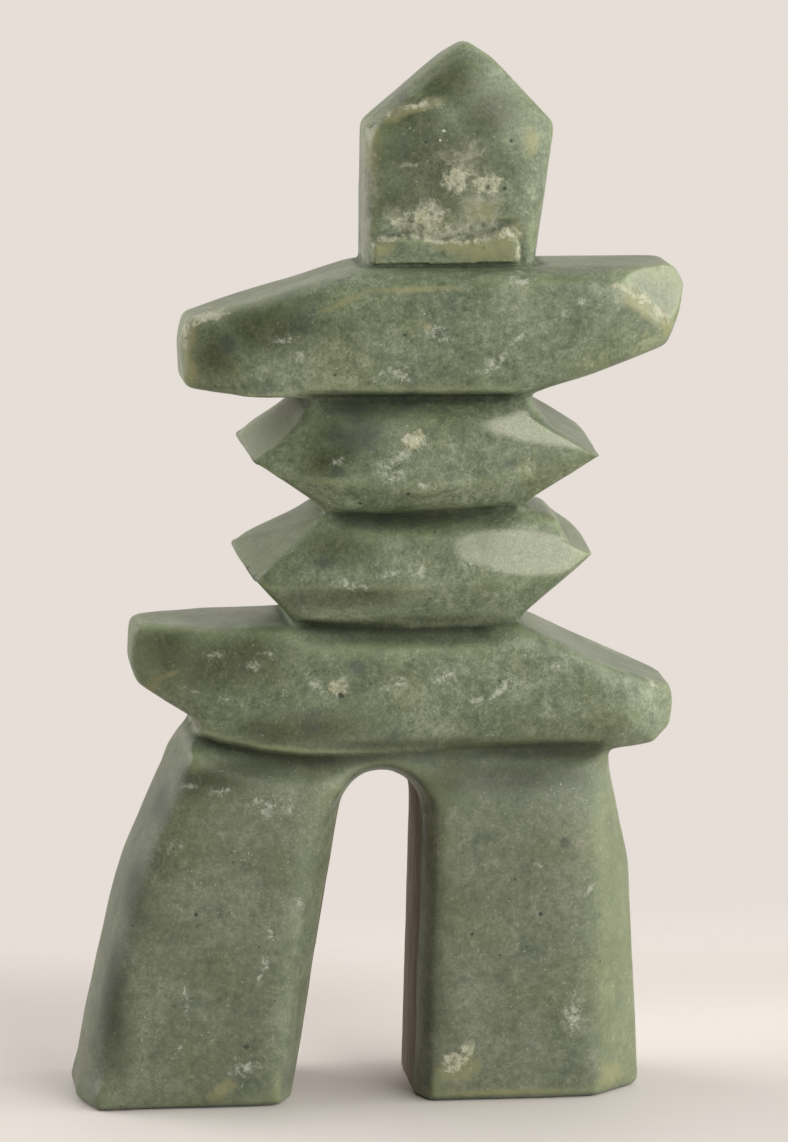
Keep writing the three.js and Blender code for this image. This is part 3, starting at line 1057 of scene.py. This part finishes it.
@dataclass
class CarvedFigure:
    """The whole figure in one stone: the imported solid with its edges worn, its head broken and its doorway sawn."""

    node: str = "inukshuk"
    slot: str = "green_stone"
    cell: float = 0.42  # size of the cells that the skin is made of, in mm
    ease_rounds: int = 5
    most_triangles: int = 192_000
    groove: float = 0.5  # how much deeper every hollow is filed, as a share of how hollow it is
    groove_most: float = 0.3
    waves: tuple[tuple[float, float], ...] = ((0.10, 11.0), (0.045, 4.1), (0.012, 1.3))  # height and length of each
    undercut: Point = (8.2, -7.3, 125.62)
    undercut_size: Point = (25.0, 2.6, 0.75)
    undercut_edge: float = 0.2
    ledge_face: float = -7.75
    ledge_foot: float = 126.0
    ledge_top: float = 132.5
    ledge_line: tuple[tuple[float, float], ...] = (
        (-1.0, 128.9), (0.2, 129.3), (2.9, 129.9), (6.4, 130.1), (8.2, 129.2), (10.6, 129.5), (12.4, 129.0),
        (15.0, 129.8), (17.2, 130.4), (19.0, 130.9), (20.2, 129.9), (20.7, 128.4),
    )
    scar_foot: float = 140.0
    scar_line: tuple[tuple[float, float], ...] = (
        (-1.9, 145.4), (-1.1, 146.1), (1.0, 147.5), (2.6, 147.9), (3.6, 148.5), (5.7, 149.0), (7.8, 149.7),
        (9.4, 150.0),
    )
    pit: float = 0.3  # depth of the pit at a dark grain, as a share of the grain's radius
    ridge: float = 0.07  # height of the rasp's ridges in the doorway
    doorway: tuple[float, float] = (-15.0, 7.5)  # between which x its wall lies
    doorway_top: float = 51.6
    mouth: float = 7.9  # how far from the middle of the thickness the wall is left unpolished
    rim: Step = (5.5, 9.5)  # from the middle of the thickness out to its rim
    foot: Step = (0.4, 1.8)
    shank: Span = Span(2.0, 7.0, 49.0, 52.5)
    left_end: Step = (-20.0, -27.0)  # of the legs
    right_end: Step = (22.0, 27.0)
    flank_up: Step = (55.0, 53.0)  # the left leg's outer side, darkened and dulled with painted shade
    flank_out: Step = (-12.0, -16.0)
    chamfer_up: Step = (52.0, 49.5)  # the right leg's outer edge, lightened with painted light
    chamfer_out: Step = (26.0, 30.0)
    body: Span = Span(53.0, 56.0, 122.0, 125.0)
    hips: Step = (73.5, 71.0)
    shoulders: Step = (106.0, 108.5)
    upper_slopes: Span = Span(98.0, 100.0, 105.0, 106.0)
    lower_slopes: Span = Span(81.5, 83.5, 87.8, 88.8)
    left_slopes: Step = (-5.0, -9.0)
    middle_line: float = 6.0
    middle: Step = (24.0, 16.0)  # how far from that line the middle of a tier reaches
    face_up: Step = (130.8, 133.0)  # the head's face above the ledge
    face_out: Step = (-3.2, -5.2)
    crown_up: Step = (143.0, 148.0)
    crown_out: Step = (-2.0, -4.5)
    bellies: Span = Span(60.0, 63.0, 101.0, 104.0)
    crust_zone: Span = Span(129.8, 131.0, 144.0, 146.0)  # where the head's crusts are sunk deep
    noise: GroundNoise = field(default_factory=lambda: GroundNoise(seed=11))
    stone: bpy.types.Object = field(init=False)

    def build(self) -> bpy.types.Object:
        """Makes the figure.

        Returns:
            Its object.
        """
        self.stone = self.copy_of_node()
        self.cut_under_ledge()
        apply_modifier(self.stone, "REMESH", mode="VOXEL", voxel_size=self.cell * MM, adaptivity=0.0)
        apply_modifier(self.stone, "SMOOTH", factor=0.5, iterations=self.ease_rounds)
        skin = Skin(self.stone.data)
        self.grind_flats(skin, True)
        self.polish_round(skin)
        self.file_grooves(skin)
        self.grind_flats(skin, False)
        self.hand_grind(skin)
        self.break_head(skin)
        self.roughen_crusts(skin)
        self.prick_grains(skin)
        self.saw_doorway(skin)
        skin.points[:, 2] = np.maximum(skin.points[:, 2], 0.0)
        skin.write()
        self.thin()
        self.keep_traces()
        only(self.stone)
        bpy.ops.object.shade_smooth()
        return self.stone

    def copy_of_node(self) -> bpy.types.Object:
        """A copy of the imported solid, its loose triangles merged.

        Returns:
            The copy.
        """
        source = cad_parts[self.node]
        copy = source.copy()
        copy.data = source.data.copy()
        copy.name = copy.data.name = "carved_figure"
        copy.parent = None
        bpy.context.scene.collection.objects.link(copy)
        copy.data.materials.clear()
        only(copy)
        bpy.ops.object.mode_set(mode="EDIT")
        bpy.ops.mesh.select_all(action="SELECT")
        bpy.ops.mesh.remove_doubles(threshold=1e-6)
        bpy.ops.mesh.normals_make_consistent(inside=False)
        bpy.ops.object.mode_set(mode="OBJECT")
        return copy

    def cut_under_ledge(self) -> None:
        """Undercuts the ledge along the foot of the head."""
        cutter = bevelled_block(self.undercut, self.undercut_size, self.undercut_edge, 2)
        apply_modifier(self.stone, "BOOLEAN", operation="DIFFERENCE", object=cutter, solver="EXACT")
        bpy.data.objects.remove(cutter, do_unlink=True)

    def grind_flats(self, skin: Skin, soft: bool) -> None:
        """Grinds the soft flats or the crisp ones."""
        for flat in FLATS:
            if flat.soft is soft:
                height, square, near = flat.over(skin.points, skin.facing)
                cut = np.maximum(height, 0.0) * near * (square > -0.2)
                skin.points -= cut[:, None] * np.array(flat.normal) / np.linalg.norm(flat.normal)
        skin.write()

    def polish_round(self, skin: Skin) -> None:
        """Rounds the edges as polishing does, which only takes stone away, and files the grooves deeper."""
        x, y, z = skin.points.T
        fine = skin.eased(10)
        broad = skin.eased(60, fine)
        broadest = skin.eased(120, broad)
        outer = smooth_step(np.abs(y), *self.rim)
        shank = self.shank.of(z)
        ends = shank * np.maximum(smooth_step(x, *self.left_end), 0.6 * outer * smooth_step(x, *self.right_end))
        body = self.body.of(z) * outer
        long_stone = np.maximum(smooth_step(z, *self.hips), smooth_step(z, *self.shoulders))
        middle = smooth_step(np.abs(x - self.middle_line), *self.middle)
        face = smooth_step(z, *self.face_up) * smooth_step(y, *self.face_out)
        crown = smooth_step(z, *self.crown_up) * smooth_step(y, *self.crown_out)
        foot = smooth_step(z, *self.foot)
        tops = np.maximum(self.upper_slopes.of(z), self.lower_slopes.of(z))
        slope = 0.75 * body * tops * smooth_step(x, *self.left_slopes)
        body_share = np.maximum(body * (0.22 * middle + 0.45 * long_stone), slope)
        for soft, share in (
            (fine, 0.7 * foot),
            (broad, np.maximum(0.75 * np.maximum(shank * outer, face), body_share)),
            (broadest, np.maximum(ends, np.maximum(0.9 * crown, 0.5 * body_share))),
        ):
            rise = ((soft - skin.points) * skin.facing).sum(axis=1)
            skin.points += (soft - skin.points) * (share * smooth_step(rise, 0.04, -0.06))[:, None]
        rise = ((fine - skin.points) * skin.facing).sum(axis=1)
        hollow = np.maximum(rise, 0.0) * foot * (z < self.ledge_foot - 1.5)
        skin.points -= skin.facing * np.minimum(hollow * self.groove, self.groove_most)[:, None]
        skin.points = skin.eased(2)
        skin.write()

    def file_grooves(self, skin: Skin) -> None:
        """Files the grooves between the stones and leaves the creases standing, front and back."""
        x, y, z = skin.points.T
        depth = np.zeros(len(x))
        for kerf in KERFS:
            above, deep = kerf.at(x, z)
            away = above / np.where(above > 0.0, kerf.width, kerf.below)
            here = deep * np.exp(-away * away)
            depth = np.where(np.abs(here) > np.abs(depth), here, depth)
        skin.points[:, 1] -= np.sign(y) * depth * smooth_step(np.abs(y), 6.0, 8.0)
        skin.points = skin.eased(3)
        skin.write()

    def hand_grind(self, skin: Skin) -> None:
        """Gives the faces the slight waviness of grinding by hand."""
        skin.push(sum(height * self.noise.at(skin.points, length) for height, length in self.waves))
        skin.write()

    def break_head(self, skin: Skin) -> None:
        """Breaks the face of the head: the ragged ledge at its foot and the scar under its left slope."""
        points, facing = skin.points, skin.facing
        x, y, z = points.T
        front = (facing[:, 1] < -0.35) & (y < -5.6) & (z > self.ledge_foot - 0.1)
        ragged = 0.45 * self.noise.at(points, 1.5) + 0.25 * self.noise.at(points, 0.7)
        knots = np.array(self.ledge_line)
        left, right = knots[0, 0], knots[-1, 0]
        line = np.interp(x, knots[:, 0], knots[:, 1]) + ragged
        ends = smooth_step(x, left - 0.3, left + 0.3)
        ends *= smooth_step(x, right + 0.3 + 0.4 * ragged, right - 0.3 + 0.4 * ragged)
        proud = smooth_step(z, line + 0.25, line - 0.55) * ends
        reach = smooth_step(z, line + 4.0, line + 1.0) * smooth_step(x, -2.2, -0.6) * smooth_step(x, 22.4, 20.9)
        face = y + 0.22 * reach * front
        target = face * (1.0 - proud) + (self.ledge_face + 0.06 * ragged) * proud
        points[:, 1] = np.where(front & (z < self.ledge_top), target, y)
        knots = np.array(self.scar_line)
        left, right = knots[0, 0], knots[-1, 0]
        below = np.interp(x, knots[:, 0], knots[:, 1]) + 0.5 * ragged - z
        span = smooth_step(x, left - 0.4, left + 0.4) * smooth_step(x, right + 0.6, right - 1.4)
        lip = np.exp(-(((below - 0.45) / 0.5) ** 2)) * (0.24 + 0.16 * self.noise.at(points, 0.9))
        worn = smooth_step(below, 0.1, -0.4) * smooth_step(below, -3.5, -0.5) * 0.14
        points[:, 1] -= (lip - worn) * span * (front & (z > self.scar_foot))
        skin.write()

    def roughen_crusts(self, skin: Skin) -> None:
        """Sinks and roughens the crusts, deeply on the head and slightly elsewhere."""
        soft = softness(skin.points, Tint.CREAM, Tint.WHITE)
        on_head = self.crust_zone.of(skin.points[:, 2])
        share = smooth_step(soft + 0.2 * self.noise.at(skin.points, 1.0), 0.3, 0.8)
        coarse = self.noise.at(skin.points, 1.7)
        fine = self.noise.at(skin.points, 0.8)
        skin.push(-share * on_head * (0.16 + 0.10 * coarse + 0.10 * fine))
        skin.push(-share * (1.0 - on_head) * (0.03 + 0.05 * fine))
        skin.write()

    def prick_grains(self, skin: Skin) -> None:
        """Sinks a small pit at each dark grain."""
        for grain in GRAINS:
            if not grain.bright:
                away = np.linalg.norm(skin.points - np.array(grain.at), axis=1) / grain.radius
                skin.push(-self.pit * grain.radius * smooth_step(away, 1.0, 0.2))
        skin.write()

    def doorway_wall(self, points: np.ndarray) -> np.ndarray:
        """How much each point belongs to the doorway's unpolished inner wall.

        Args:
            points: Places in mm.

        Returns:
            From 0 to 1 a point.
        """
        x, y, z = points.T
        inside = (x > self.doorway[0]) & (x < self.doorway[1]) & (z < self.doorway_top)
        edge = self.mouth + 0.35 * self.noise.at(points * (1.0, 1.0, 0.4), 3.0)
        return inside * smooth_step(np.abs(y), edge + 0.25, edge - 0.25)

    def saw_doorway(self, skin: Skin) -> None:
        """Leaves the upright ridges of the rasp on the doorway's inner wall."""
        ridges = self.noise.at(skin.points * (1.0, 1.0, 0.12), 1.25)
        skin.push(self.doorway_wall(skin.points) * self.ridge * ridges)
        skin.write()

    def thin(self) -> None:
        """Takes out triangles that the form doesn't need."""
        self.stone.data.calc_loop_triangles()
        count = len(self.stone.data.loop_triangles)
        if count > self.most_triangles:
            apply_modifier(self.stone, "DECIMATE", ratio=self.most_triangles / count, use_collapse_triangulate=True)

    def keep_traces(self) -> None:
        """Keeps the marks, the traces of work and the painted light and shade as attributes, for the finish to read.
        """
        skin = Skin(self.stone.data)
        for tint in Tint:
            skin.keep(tint.value, softness(skin.points, tint))
        bend = self.bend(skin)
        groove_painted_shade = self.groove_painted_shade(skin.points)
        x, z = skin.points[:, 0], skin.points[:, 2]
        sideways = skin.facing[:, 0]
        jitter = 0.6 * self.noise.at(skin.points, 2.0)
        # Painted light: the left slopes of the bellies and the right leg's outer chamfer are lightened through the
        # worn-edge colour; the slopes are also darkened and dulled a little below.
        painted_slope_light = self.bellies.of(z) * smooth_step(sideways, -0.3, -0.6)
        painted_lit_chamfer = smooth_step(x, *self.chamfer_out) * smooth_step(z, *self.chamfer_up)
        painted_lit_chamfer *= smooth_step(sideways, 0.15, 0.65)
        bright = 0.8 * np.maximum(painted_lit_chamfer, painted_slope_light)
        # Convex edges are lightened: wear, with painted light where thin edges glow; less on the left leg's outer
        # side, and not on edges that face down.
        worn = smooth_step(bend + 0.12 * jitter, 0.12, 1.1) * (1.0 - groove_painted_shade)
        worn *= 1.0 - 0.4 * smooth_step(x, -18.0, -24.0) * (z < 53.0)
        worn *= smooth_step(skin.facing[:, 2], -0.8, -0.1)
        skin.keep(Trace.WEAR_AND_PAINTED_LIGHT.value, np.maximum(worn, bright * (0.8 + 0.3 * jitter)))
        # Painted shade: the left leg's outer side and the left slopes are darkened and dulled, and so are the hollows
        # and the grooves, where shade falls.
        painted_flank_shade = smooth_step(z, *self.flank_up) * smooth_step(x, *self.flank_out)
        painted_flank_shade *= smooth_step(sideways, -0.45, -0.85)
        dull_and_painted_shade = np.maximum(0.3 * painted_flank_shade, 0.27 * painted_slope_light)
        skin.keep(Trace.PAINTED_HOLLOW_SHADE.value, np.maximum(np.maximum(smooth_step(-bend, 0.1, 1.0) * 0.6, dull_and_painted_shade), groove_painted_shade))
        skin.keep(Trace.SAWN.value, self.doorway_wall(skin.points))
        skin.keep(Trace.GROUND_AND_HIGHLIGHT.value, self.ground(skin))

    def bend(self, skin: Skin) -> np.ndarray:
        """How sharply the skin bends: over 0 on edges and under 0 in hollows, one value a point."""
        sharp = ((skin.points - skin.eased(6)) * skin.facing).sum(axis=1) / 0.06
        broad = ((skin.points - skin.eased(45)) * skin.facing).sum(axis=1) / 0.55
        return 0.35 * sharp + 0.65 * broad

    def groove_painted_shade(self, points: np.ndarray) -> np.ndarray:
        """How much painted shade darkens the grooves, thickest on the stone below, under the overhang.

        Args:
            points: Places in mm.

        Returns:
            From 0 to 1 a point.
        """
        share = np.zeros(len(points))
        for kerf in KERFS:
            above, deep = kerf.at(points[:, 0], points[:, 2])
            away = above / np.where(above > 0.0, 0.3, 0.75 * kerf.below + 0.25 * self.noise.at(points, 2.2))
            share = np.maximum(share, smooth_step(deep, 0.2, 1.6) * np.exp(-away * away))
        return share

    def ground(self, skin: Skin) -> np.ndarray:
        """How pale the ground flats are: frosted, with a painted highlight.

        Args:
            skin: The skin.

        Returns:
            From 0 to 1 a point.
        """
        pale = np.zeros(len(skin.points))
        for flat in FLATS:
            height, square, near = flat.over(skin.points, skin.facing)
            close = smooth_step(np.abs(height), *(SEAM if flat.soft else CRISP_SEAM))
            touched = smooth_step(square, 0.6, 0.85) if flat.oval else close * smooth_step(square, 0.90, 0.97)
            pale = np.maximum(pale, near * touched * flat.pale)
        return pale

    def dress(self, finish: GreenStone) -> None:
        """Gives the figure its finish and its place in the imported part.

        Args:
            finish: The stone's finish.
        """
        self.stone.data.materials.append(finish.make())
        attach(self.stone, "root")
        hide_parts(self.node)


@dataclass
class Table:
    """The table top that the figure stands on, which fades into the backdrop behind it."""

    width: float = 2400.0
    front: float = 1600.0  # how far it reaches in front of the figure
    back: float = 135.0  # and behind it
    thick: float = 3.0
    edge: float = 1.2

    def build(self) -> bpy.types.Object:
        """Makes the table top.

        Returns:
            Its object.
        """
        middle = (0.0, (self.back - self.front) / 2, -self.thick / 2)
        top = bevelled_block(middle, (self.width, self.back + self.front, self.thick), self.edge, 4)
        top.name = top.data.name = "table_top"
        top.data.materials.append(TablePaint().make())
        return top


@dataclass(frozen=True)
class SoftBox:
    """A rectangle of soft light, which the camera doesn't see."""

    name: str
    azimuth: float  # from the front, to the right
    elevation: float
    width: float
    height: float
    radiance: float
    distance: float = 900.0

    def hang(self, target: Vector) -> bpy.types.Object:
        """Hangs the light.

        Args:
            target: What it faces, in metres.

        Returns:
            Its object.
        """
        lamp = bpy.data.lights.new(self.name, "AREA")
        lamp.shape = "RECTANGLE"
        lamp.size, lamp.size_y = self.width * MM, self.height * MM
        lamp.energy = self.radiance * math.pi * lamp.size * lamp.size_y
        holder = bpy.data.objects.new(self.name, lamp)
        bpy.context.scene.collection.objects.link(holder)
        way = way_to(self.azimuth, self.elevation)
        holder.location = target + way * self.distance * MM
        holder.rotation_mode = "QUATERNION"
        holder.rotation_quaternion = way.to_track_quat("Z", "Y")
        holder.visible_camera = False
        return holder


@dataclass
class Studio:
    """The light, the backdrop's glow and the camera."""

    target: Point = (2.96, 0.0, 78.7)
    azimuth: float = -6.8
    elevation: float = 9.5
    distance: float = 900.0
    focal_pixels: float = 6000.0
    sensor: float = 36.0
    boxes: tuple[SoftBox, ...] = (
        SoftBox("window_right", 75.0, 20.0, 1040.0, 840.0, 3.45),
        SoftBox("window_front_right", 30.0, 22.0, 430.0, 800.0, 5.2),
        SoftBox("window_left", -112.0, 24.0, 860.0, 700.0, 3.95),
        SoftBox("top_glow", 180.0, 75.0, 1300.0, 900.0, 0.7),
    )
    backdrop: Colour = (0.791, 0.730, 0.680)
    ambient: float = 0.05  # share of the backdrop's glow that comes from the front
    glow: Step = (-0.1, 0.5)  # from where to where, front to back, it grows to the whole
    matt_loss: float = 0.55  # share of the surroundings' glow that matt surfaces go without

    def light(self) -> None:
        """Hangs the lights and sets the glow of the surroundings, which the camera sees brighter than it lights."""
        target = Vector(self.target) * MM
        for box in self.boxes:
            box.hang(target)
        world = bpy.data.worlds.new("pale_surround")
        bpy.context.scene.world = world
        world.use_nodes = True
        nodes, links = world.node_tree.nodes, world.node_tree.links
        nodes.clear()
        ray = nodes.new("ShaderNodeLightPath")
        where, parts = nodes.new("ShaderNodeTexCoord"), nodes.new("ShaderNodeSeparateXYZ")
        behind, share = nodes.new("ShaderNodeMapRange"), nodes.new("ShaderNodeMath")
        faint, held = nodes.new("ShaderNodeMath"), nodes.new("ShaderNodeMath")
        behind.inputs["From Min"].default_value, behind.inputs["From Max"].default_value = self.glow
        behind.inputs["To Min"].default_value = self.ambient
        share.operation, faint.operation, held.operation = "MAXIMUM", "MULTIPLY_ADD", "MULTIPLY"
        faint.inputs[1].default_value, faint.inputs[2].default_value = -self.matt_loss, 1.0
        seen, out = nodes.new("ShaderNodeBackground"), nodes.new("ShaderNodeOutputWorld")
        seen.inputs["Color"].default_value = (*self.backdrop, 1.0)
        links.new(where.outputs["Generated"], parts.inputs[0])
        links.new(parts.outputs["Y"], behind.inputs["Value"])
        links.new(ray.outputs["Is Camera Ray"], share.inputs[0])
        links.new(ray.outputs["Is Diffuse Ray"], faint.inputs[0])
        links.new(behind.outputs[0], held.inputs[0])
        links.new(faint.outputs[0], held.inputs[1])
        links.new(held.outputs[0], share.inputs[1])
        links.new(share.outputs[0], seen.inputs["Strength"])
        links.new(seen.outputs[0], out.inputs["Surface"])
        bpy.context.scene.view_settings.view_transform = "Standard"

    def stand_camera(self) -> None:
        """Stands the camera where the picture is taken from."""
        lens = bpy.data.cameras.new("portrait_camera")
        lens.sensor_fit = "AUTO"
        lens.sensor_width = self.sensor
        lens.lens = self.focal_pixels / PHOTO_HEIGHT * self.sensor
        lens.clip_start, lens.clip_end = 0.01, 20.0
        lens.dof.use_dof = False
        camera = bpy.data.objects.new("portrait_camera", lens)
        bpy.context.scene.collection.objects.link(camera)
        back = way_to(self.azimuth, self.elevation)
        camera.location = (Vector(self.target) + back * self.distance) * MM
        camera.rotation_mode = "QUATERNION"
        camera.rotation_quaternion = (-back).to_track_quat("-Z", "Y")
        bpy.context.scene.camera = camera


def report(thing: bpy.types.Object) -> None:
    """Logs a piece's size and its number of triangles."""
    thing.data.calc_loop_triangles()
    size = ", ".join(f"{length / MM:.1f}" for length in thing.dimensions)
    log.info("%s: %s mm, %d triangles", thing.name, size, len(thing.data.loop_triangles))


def main() -> None:
    """Builds the figure, the table and the studio in order."""
    logging.basicConfig(level=logging.INFO, format="%(message)s")
    figure = CarvedFigure()
    report(figure.build())
    figure.dress(GreenStone())
    report(Table().build())
    studio = Studio()
    studio.light()
    studio.stand_camera()


if __name__ == "__main__":
    main()
